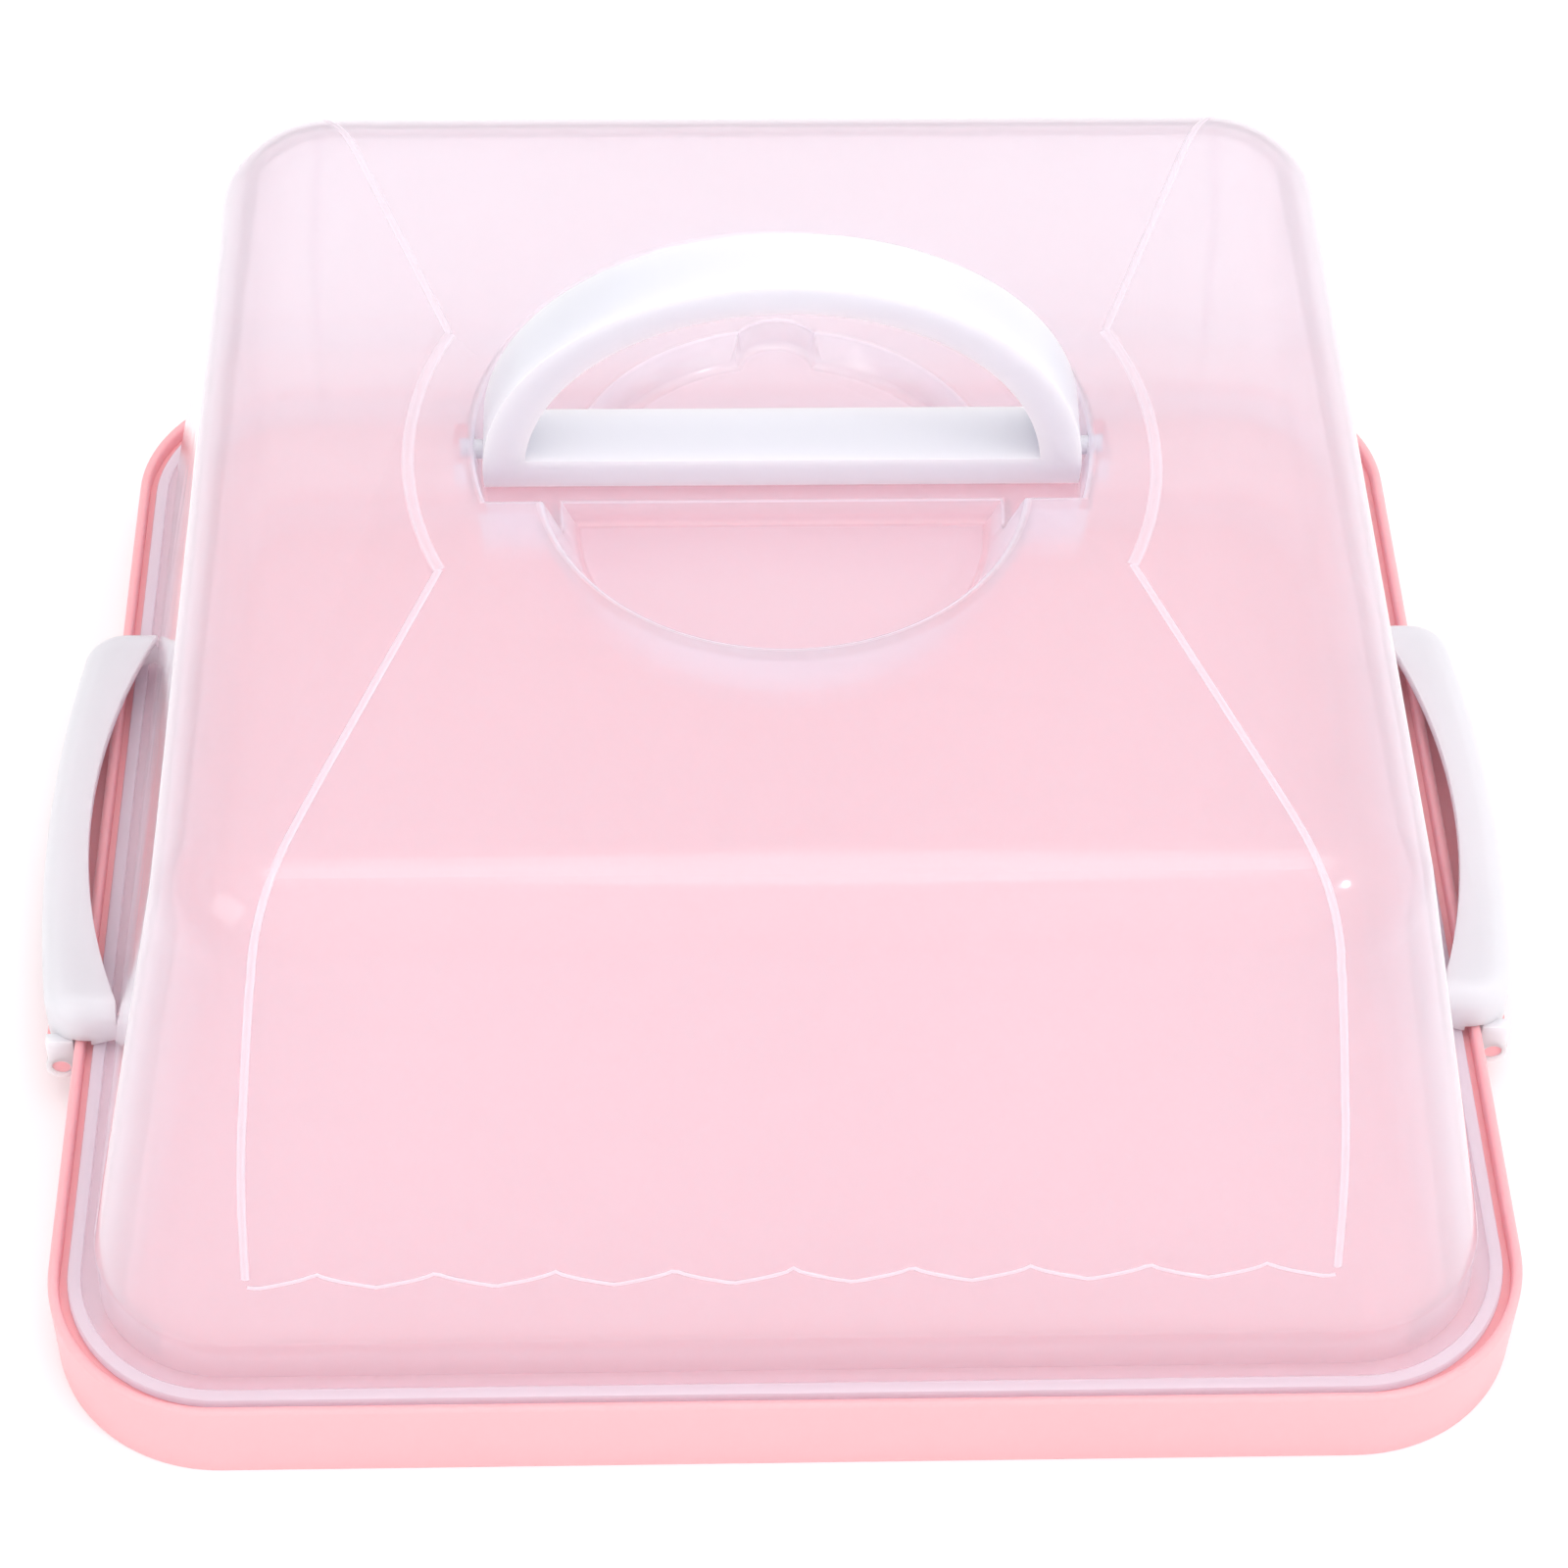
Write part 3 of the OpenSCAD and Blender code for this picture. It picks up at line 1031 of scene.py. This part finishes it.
@dataclass
class EmbossedLine:
    """Raised line that runs round the lid, seen as two fine edges.

    The line runs over the top on both sides of the handle, down the front and the
    back wall, and along the foot of those walls in scallops.
    """

    middle_y: float = 3.05
    corner: tuple[float, float] = (68.0, 34.4)
    bulge: float = 75.3
    top_end: tuple[float, float] = (94.0, 104.9)
    wall: tuple[tuple[float, float], ...] = (
        (97.3, 133.5),
        (99.4, 127.5),
        (100.7, 118.6),
        (102.9, 100.0),
        (104.9, 81.0),
        (106.0, 67.0),
        (106.5, 46.5),
    )
    scallop: float = 23.2
    trough: float = 44.1
    crest: float = 47.9
    foot_x: float = 106.3
    wide: float = 2.7
    narrow: float = 1.7
    fine: float = 1.0
    proud: float = 0.35

    def side_arc(self) -> list[tuple[float, float]]:
        """Return X and Y (from the middle) of the arc beside the handle."""
        x, y = self.corner
        sag = self.bulge - x
        radius = (y * y + sag * sag) / (2 * sag)
        points = []
        for i in range(-16, 17):
            along = y * i / 16
            points.append((self.bulge - radius + math.sqrt(radius**2 - along**2), along))
        return points

    def slant(self) -> list[tuple[float, float]]:
        """Return X and Y (from the middle) of the line from the arc to the edge."""
        (x0, y0), (x1, y1) = self.corner, self.top_end
        return [(x0 + (x1 - x0) * i / 24, y0 + (y1 - y0) * i / 24) for i in range(25)]

    def scallops(self) -> list[tuple[float, float]]:
        """Return X and height of the scalloped line along the foot."""
        points = []
        count = 170
        for i in range(count + 1):
            x = self.foot_x * (2 * i / count - 1)
            share = abs((x / self.scallop + 0.5) % 1 - 0.5) * 2
            points.append((x, self.crest - (self.crest - self.trough) * share**0.62))
        return points


@dataclass
class Lid:
    """Clear lid in one moulding: dome, flange, handle recess and embossed line."""

    dome: Dome = field(default_factory=Dome)
    recess: HandleRecess = field(default_factory=HandleRecess)
    line: EmbossedLine = field(default_factory=EmbossedLine)
    wall: float = 2.0
    flange_half: float = 146.3
    flange_radius: float = 33.0
    flange_low: float = 17.3
    flange_top: float = 19.3
    # wall_mark, floor_mark and bead_mark set extra white milk on the lid: partly haze, partly a painted
    # highlight on recess walls, recess floors and the flange bead
    wall_mark: float = 0.6
    floor_mark: float = 0.35
    bead_mark: float = 0.9
    bead_width: float = 2.9
    line_foot: float = 0.08
    line_crest: float = 0.15
    crest_fade: float = 0.5

    def flange(self) -> Workpiece:
        """Form the flange with the bead round its edge.

        Returns:
            The flange, not yet open in the middle.
        """
        plate = Workpiece.rounded_block(
            "flange", self.flange_half, self.flange_radius, self.flange_low, 18.3
        )
        plate.pick_faces(lambda c, n: n.z > 0.9)
        plate.draw_out([(0.15, 0.55), (0.25, 0.3), (0.6, 0.15), (1.2, 0.0)])
        plate.draw_out([(0.5, -0.1), (0.3, -0.3), (0.6, 0.0)])
        plate.close()
        return plate

    def _bead(
        self,
        surface: BVHTree,
        guides: Sequence[tuple[float, float, float]],
        width: float,
        height: float,
        smoothness: int,
    ) -> Workpiece:
        """Form a raised line along points laid on the dome.

        Args:
            surface: The dome's outside.
            guides: Points close to the dome.
            width: Width of the line where it meets the dome.
            height: How far it stands proud.
            smoothness: How finely its section is drawn.

        Returns:
            A round bar, mostly inside the wall.
        """
        radius = ((width / 2) ** 2 + height**2) / (2 * height)
        data = bpy.data.curves.new("line", "CURVE")
        data.dimensions = "3D"
        data.bevel_depth = radius
        data.bevel_resolution = smoothness
        data.use_fill_caps = True
        data.twist_mode = "MINIMUM"
        spline = data.splines.new("POLY")
        spline.points.add(len(guides) - 1)
        for point, guide in zip(spline.points, guides):
            place, normal, _, _ = surface.find_nearest(Vector(guide))
            point.co = (*(place - normal * (radius - height)), 1.0)
        obj = bpy.data.objects.new("line", data)
        bpy.context.scene.collection.objects.link(obj)
        hold(obj)
        bpy.ops.object.convert(target="MESH")
        bead = Workpiece(bpy.context.object)
        bead.weld()
        return bead

    def emboss(self, lid: Workpiece, surface: BVHTree) -> None:
        """Raise the line on the lid.

        Args:
            lid: The solid that gets the line.
            surface: The plain dome that the line is laid on.
        """
        line, top = self.line, self.dome.top
        beads = []
        for side in (-1, 1):
            arc = [(side * x, line.middle_y + y, top) for x, y in line.side_arc()]
            beads.append(self._bead(surface, arc, line.wide, line.proud, 16))
            for end in (-1, 1):
                run = [(side * x, line.middle_y + end * y, top) for x, y in line.slant()]
                reach = self.dome.collar_half
                for (x0, z0), (x1, z1) in zip([(line.top_end[0], top), *line.wall[:-1]], line.wall):
                    for i in range(1, 7):
                        x, z = x0 + (x1 - x0) * i / 6, z0 + (z1 - z0) * i / 6
                        run.append((side * x, end * self._wall_y(z, reach), z))
                run = self._eased(run, 14)
                beads.append(self._bead(surface, run, line.narrow, line.proud * 0.85, 10))
        for end in (-1, 1):
            foot = [(x, end * self._wall_y(z, self.dome.collar_half), z) for x, z in line.scallops()]
            beads.append(self._bead(surface, foot, line.fine, line.proud * 0.7, 5))
        for bead in beads:
            lid.combine(bead, Mode.JOIN)

    @staticmethod
    def _eased(
        points: list[tuple[float, float, float]], passes: int
    ) -> list[tuple[float, float, float]]:
        """Take the kinks out of a run of points.

        Args:
            points: The run; its ends stay.
            passes: How often each point moves to the mean of itself and its neighbours.

        Returns:
            The eased run.
        """
        run = [Vector(p) for p in points]
        for _ in range(passes):
            inner = [(a + 2 * b + c) / 4 for a, b, c in zip(run, run[1:], run[2:])]
            run = [run[0], *inner, run[-1]]
        return [tuple(p) for p in run]

    def _recess_mark(self, spot: Vector, normal: Vector) -> float:
        """Return how milky a spot of the handle recess looks, from none to one.

        Args:
            spot: Place of the spot.
            normal: Which way the surface faces there.

        Returns:
            Its mark: rims most, then walls seen from inside the recess, then floors; the white it adds
                is partly haze and partly painted highlight.
        """
        recess, mark = self.recess, 0.0
        for high, rim in ((recess.top, recess.rim), (recess.ledge, recess.ledge_rim)):
            share = (spot.z - high + rim) / rim
            if 0 < share < 1:
                mark = min(1.0, 5 * min(share, 1 - share))
        middle = Vector((0, recess.front_edge - 0.7, 0))
        inwards = (middle - spot).xy.dot(normal.xy) > 0
        on_front = abs(spot.y - recess.front_edge) < 0.3
        if abs(spot.z - recess.floor) < 0.05:
            mark = self.floor_mark
        elif inwards and not on_front and abs(normal.z) < 0.3:
            # the bridge wall gets the full mark: a painted highlight strip across the recess
            bridge = abs(spot.y - recess.bridge_front) < 0.2
            mark = max(mark, 1.0 if bridge else self.wall_mark)
        return mark

    def mark_edges(self, lid: Workpiece, surface: BVHTree) -> None:
        """Note where the plastic gets extra white milk, partly haze where it is seen edge-on and partly
        painted highlight: raised lines, rims and fillets.

        Args:
            lid: The lid.
            surface: The plain dome.
        """
        marks = []
        for vertex in lid.obj.data.vertices:
            spot = vertex.co
            mark = 0.0
            if spot.xy.length < self.recess.reach:
                mark = self._recess_mark(spot, vertex.normal)
            # flange bead: white milk, partly a painted highlight along the flange edge
            elif self.flange_low - 0.01 < spot.z < self.flange_top + 0.03:
                straight = self.flange_half - self.flange_radius
                past = [max(abs(v) - straight, 0.0) for v in spot.xy]
                if math.hypot(*past) > self.flange_radius - self.bead_width:
                    mark = self.bead_mark
            place, normal, _, _ = surface.find_nearest(spot)
            proud = (spot - place).dot(normal)
            # the raised line gets white milk at its feet and less on its crest: painted highlight
            # edges, partly haze
            if proud > 0.01 and abs(spot.z - self.flange_top) > 3:
                fade = max(0.0, proud - self.line_crest) / (self.line.proud - self.line_crest)
                mark = max(mark, min(1.0, proud / self.line_foot) - self.crest_fade * fade)
            marks.append(max(0.0, mark))
        layer = lid.obj.data.attributes.new(MILK_AND_HIGHLIGHT_MARK, "FLOAT", "POINT")
        layer.data.foreach_set("value", marks)

    def _wall_y(self, z: float, reach: float) -> float:
        """Return the distance of the front or back wall from the middle at height z."""
        dome = self.dome
        middle = dome.top - dome.crown_radius
        if z > middle + dome.crown_radius * math.sin(math.radians(dome.first_angle)):
            return dome.crown_half + math.sqrt(max(dome.crown_radius**2 - (z - middle) ** 2, 0))
        first = math.radians(dome.first_angle)
        upper = dome.crown_half + dome.crown_radius * math.cos(first)
        upper_z = middle + dome.crown_radius * math.sin(first)
        return reach + (upper - reach) * (z - dome.collar) / (upper_z - dome.collar)

    def build(self, finish: ClearMouldedPlastic) -> bpy.types.Object:
        """Make the lid and hang it on its body.

        Args:
            finish: Its plastic.

        Returns:
            The lid.
        """
        lid = self.dome.form("lid_shell", 0.0, self.flange_low + 0.4)
        surface = BVHTree.FromObject(lid.obj, bpy.context.evaluated_depsgraph_get())
        lid.combine(self.recess.solid(), Mode.CUT)
        self.recess.round_rim(lid)
        self.emboss(lid, surface)
        lid.combine(self.flange(), Mode.JOIN)
        space = self.dome.form("space", self.wall, self.flange_low - 2)
        space.combine(self.recess.solid(self.wall), Mode.CUT)
        lid.combine(space, Mode.CUT)
        for bore in self.recess.bores():
            lid.combine(bore, Mode.CUT)
        lid.weld()
        self.mark_edges(lid, surface)
        return lid.settle("lid", "clear_plastic", finish.material(), ["lid", "lid_flange"], smooth=28.0)


# ---------------------------------------------------------------- handle
@dataclass
class CarryHandle:
    """White half-round handle: a bow closed by a straight bar, on two pins."""

    axis_y: float = 6.5
    axis_z: float = 132.7
    radius: float = 60.4
    thickness: float = 8.4
    depth: float = 13.0
    bar: float = 8.9
    lean: float = 11.0
    pin: float = 2.0
    pin_length: float = 4.4
    pin_root: float = 3.0
    bar_edge: float = 3.0
    edge: float = 1.1

    def build(self, finish: MouldedPolypropylene) -> bpy.types.Object:
        """Make the handle and hang it on its body.

        Args:
            finish: Its plastic.

        Returns:
            The handle.
        """
        low, high = self.axis_z - self.bar / 2, self.axis_z + self.bar / 2
        centre = (0, self.axis_y, self.axis_z)
        bow = Workpiece.rod("handle", centre, self.radius, self.depth, "Y", 180)
        bow.bisect((0, 0, low), (0, 0, -1))
        hole = Workpiece.rod("hole", centre, self.radius - self.thickness, self.depth + 4, "Y", 180)
        hole.bisect((0, 0, high), (0, 0, -1))
        bow.combine(hole, Mode.CUT)
        bow.bevel(lambda a, b: max(a.z, b.z) < low + 0.01 and abs(a.x - b.x) > 60, self.bar_edge, 8)
        bow.soften(self.edge, 5, 40)
        for side in Side:
            pin = Workpiece.rod(
                "pin",
                (side.value * (self.radius + (self.pin_length - self.pin_root) / 2), *centre[1:]),
                self.pin,
                self.pin_length + self.pin_root,
                "X",
            )
            bow.combine(pin, Mode.JOIN)
        bow.turn(centre, "X", self.lean)
        return bow.settle("handle", "white_plastic", finish.material(), ["carry_handle"], smooth=30.0)


# ---------------------------------------------------------------- clips
@dataclass
class SideClip:
    """White bow that hooks over the lid's flange and swings on the tray's ear."""

    side: Side
    out: float = 160.0
    hook: float = 140.5
    half: float = 56.5
    top: float = 31.0
    bulge: float = 340.0
    bulge_turn: float = 7.2
    end_radius: float = 9.0
    end_turn: float = 78.0
    end_out: float = 156.6
    top_edge: float = 5.0
    top_rings: int = 7
    wall: float = 2.4
    gap_reach: float = 150.4
    gap_half: float = 53.4
    hinge_x: float = 153.6
    hinge_z: float = 12.0
    leg: float = 3.3
    skirt: float = 16.6
    bore: float = 2.08
    lip_low: tuple[float, float] = (146.4, 150.4)
    over_lip: float = 21.0
    over_flange: float = 19.6
    flange_rise: float = 2.3
    edge: float = 0.45

    def _plan(self, inset: float, inner: float) -> list[tuple[float, float]]:
        """Return the plan of the bow.

        Args:
            inset: Inset of its outline.
            inner: X of its side towards the lid.

        Returns:
            X and Y of the corners, counter-clockwise.
        """
        turn = self.end_radius - inset
        centre = (self.end_out - self.end_radius, self.half - self.end_radius)
        plan = [(inner, -self.half + inset)]
        for i in range(10):
            angle = math.radians(-90 + self.end_turn * i / 9)
            plan.append((centre[0] + turn * math.cos(angle), -centre[1] + turn * math.sin(angle)))
        reach = math.radians(self.bulge_turn)
        for i in range(-12, 13):
            angle = reach * i / 12
            plan.append(
                (
                    self.out - self.bulge + (self.bulge - inset) * math.cos(angle),
                    (self.bulge - inset) * math.sin(angle),
                )
            )
        plan += [(x, -y) for x, y in reversed(plan[:11])]
        return plan

    def _bow(self, name: str, inset: float, low: float, inner: float) -> Workpiece:
        """Form the solid bow with its bulging outer side and rounded top edge.

        Args:
            name: Name of the piece.
            inset: Inset of its surface.
            low: Height of its underside.
            inner: X of its side towards the lid.

        Returns:
            The solid.
        """
        round_edge = self.top_edge - inset
        plan = self._plan(inset, inner - 10)
        bow = Workpiece.slab(name, plan, low, self.top - self.top_edge)
        bow.draw_out(quarter(round_edge, self.top_rings))
        bow.close()
        bow.bisect((inner, 0, 0), (-1, 0, 0))
        bow.weld()
        return bow

    def build(self, finish: MouldedPolypropylene) -> bpy.types.Object:
        """Make the clip and hang it on its body.

        Args:
            finish: Its plastic.

        Returns:
            The clip.
        """
        clip = self._bow("clip", 0.0, self.skirt, self.hook)
        clip.combine(self._bow("space", self.wall, self.skirt - 2, self.hook - 6), Mode.CUT)
        for end in (-1, 1):
            y = sorted((end * (self.half - self.wall), end * self.half))
            foot = Workpiece.rod(
                "foot", (self.hinge_x, sum(y) / 2, self.hinge_z), self.leg, self.wall, "Y"
            )
            leg = Workpiece.block(
                "leg",
                (self.hinge_x - self.leg, y[0], self.hinge_z),
                (self.hinge_x + self.leg - 0.8, y[1], self.skirt + 4),
            )
            foot.combine(leg, Mode.JOIN)
            clip.combine(foot, Mode.JOIN)
        depth = self.gap_reach - self.hook
        gap_radius = (self.gap_half**2 + depth**2) / (2 * depth)
        gap = Workpiece.rod("gap", (self.gap_reach - gap_radius, 0, self.top), gap_radius, 9, "Z", 256)
        clip.combine(gap, Mode.CUT)
        span = self.half + 1
        lip = Workpiece.block(
            "lip", (self.lip_low[0], -span, 0), (self.lip_low[1], span, self.over_lip)
        )
        clip.combine(lip, Mode.CUT)
        flange = Workpiece.block(
            "flange_room", (self.hook - 1, -span, 0), (self.lip_low[0] + 0.1, span, self.over_flange)
        )
        flange.pick_edges(
            lambda a, b: min(a.z, b.z) > self.over_flange - 0.01 and max(a.x, b.x) < self.hook
        )
        bpy.ops.transform.translate(value=(0, 0, self.flange_rise))
        flange.close()
        clip.combine(flange, Mode.CUT)
        clip.soften(self.edge, 3, 40)
        bore = Workpiece.rod("bore", (self.hinge_x, 0, self.hinge_z), self.bore, 2 * span, "Y")
        clip.combine(bore, Mode.CUT)
        word = self.side.name.lower()
        name = f"clip_{word}_shell"
        if self.side is Side.LEFT:
            drawn = clip
            clip = drawn.mirrored(name)
            bpy.data.objects.remove(drawn.obj)
        else:
            clip.obj.name = clip.obj.data.name = name
        body, node = f"clip_{word[0]}", f"clip_{word}"
        return clip.settle(body, "white_plastic", finish.material(), [node], smooth=32.0)


# ---------------------------------------------------------------- studio
@dataclass
class Studio:
    """White sweep, a bright overcast surround, three softboxes and the camera."""

    zenith: float = 1.5
    horizon: float = 0.55
    dark_from: float = -0.35
    bright_side: tuple[float, float, float] = (0.3, -0.6, 1.0)
    camera_mm: tuple[float, float, float] = (-23.3, -587.3, 689.7)
    pitch: float = 47.96
    yaw: float = -2.41
    roll: float = 1.29
    focal_px: float = 4084.0
    shift_px: float = -1.6
    frame_px: float = 1600.0

    def floor(self) -> None:
        """Lay the paper."""
        deselect()
        bpy.ops.mesh.primitive_plane_add(size=9, location=(0, 0, 0))
        floor = bpy.context.object
        floor.name = "floor"
        floor.data.materials.append(PaperSweep().material())

    def world(self) -> None:
        """Set the white surround, brightest overhead."""
        world = bpy.data.worlds.new("surround")
        bpy.context.scene.world = world
        world.use_nodes = True
        tree = world.node_tree
        tree.nodes.clear()
        way = add_node(tree, "TexCoord").outputs["Generated"]
        bright = Vector(self.bright_side).normalized()
        towards = add_node(tree, "VectorMath", {"operation": "DOT_PRODUCT", 0: way, 1: bright})
        levels = {"From Min": self.dark_from, "To Min": self.horizon, "To Max": self.zenith}
        levels["Value"] = towards.outputs["Value"]
        strength = add_node(tree, "MapRange", levels)
        white = {"Color": (1.0, 1.0, 1.0, 1.0), "Strength": strength}
        light = add_node(tree, "Background", white)
        add_node(tree, "OutputWorld", {"Surface": light})

    def softbox(
        self,
        name: str,
        direction: tuple[float, float, float],
        distance: float,
        size: float,
        power: float,
        disk: bool = False,
    ) -> None:
        """Hang a softbox that looks at the lid.

        Args:
            name: Name of the light.
            direction: Where it hangs, seen from the lid.
            distance: How far away, in metres.
            size: Its width, in metres.
            power: Its power, in watts.
            disk: Round instead of square.
        """
        data = bpy.data.lights.new(name, "AREA")
        data.shape = "DISK" if disk else "SQUARE"
        data.size = size
        data.energy = power
        lamp = bpy.data.objects.new(name, data)
        aim = Vector((0, 0, 0.1))
        towards = Vector(direction).normalized()
        lamp.location = aim + towards * distance
        lamp.rotation_mode = "QUATERNION"
        lamp.rotation_quaternion = towards.to_track_quat("Z", "Y")
        bpy.context.scene.collection.objects.link(lamp)

    def camera(self) -> None:
        """Set the camera up where the picture was taken from."""
        pitch, yaw, roll = (math.radians(v) for v in (self.pitch, self.yaw, self.roll))
        ahead = Vector(
            (-math.sin(yaw) * math.cos(pitch), math.cos(yaw) * math.cos(pitch), -math.sin(pitch))
        )
        right = Vector((math.cos(yaw), math.sin(yaw), 0))
        up = right.cross(ahead)
        across = right * math.cos(roll) + up * math.sin(roll)
        upward = up * math.cos(roll) - right * math.sin(roll)
        data = bpy.data.cameras.new("camera")
        data.sensor_width = 36.0
        data.lens = self.focal_px / self.frame_px * 36.0
        data.shift_x = -self.shift_px / self.frame_px
        data.clip_start, data.clip_end = 0.01, 50.0
        camera = bpy.data.objects.new("camera", data)
        bpy.context.scene.collection.objects.link(camera)
        turn = Matrix((across, upward, -ahead)).transposed()
        camera.matrix_world = Matrix.LocRotScale(
            Vector(self.camera_mm) * MM, turn.to_quaternion(), None
        )
        bpy.context.scene.camera = camera

    def build(self) -> None:
        """Set up the whole studio."""
        self.floor()
        self.world()
        self.softbox("overhead", (0.05, -0.05, 1.0), 2.2, 1.1, 6.0)
        self.softbox("left", (-0.67, -0.52, 0.53), 2.0, 0.8, 3.4)
        self.softbox("right", (0.48, -0.4, 0.79), 2.0, 0.22, 3.0, disk=True)
        self.camera()
        scene = bpy.context.scene
        scene.view_settings.view_transform = "Standard"
        scene.view_settings.look = "None"
        LOG.info("studio: camera, paper and three softboxes")


def main() -> None:
    """Load the frame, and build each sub-assembly."""
    logging.basicConfig(level=logging.INFO, format="%(name)s: %(message)s")
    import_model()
    Tray().build(PINK_POLYPROPYLENE)
    Lid().build(CLEAR_PLASTIC)
    CarryHandle().build(WHITE_POLYPROPYLENE)
    for side in Side:
        SideClip(side).build(WHITE_POLYPROPYLENE)
    Studio().build()
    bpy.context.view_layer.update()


if __name__ == "__main__":
    main()
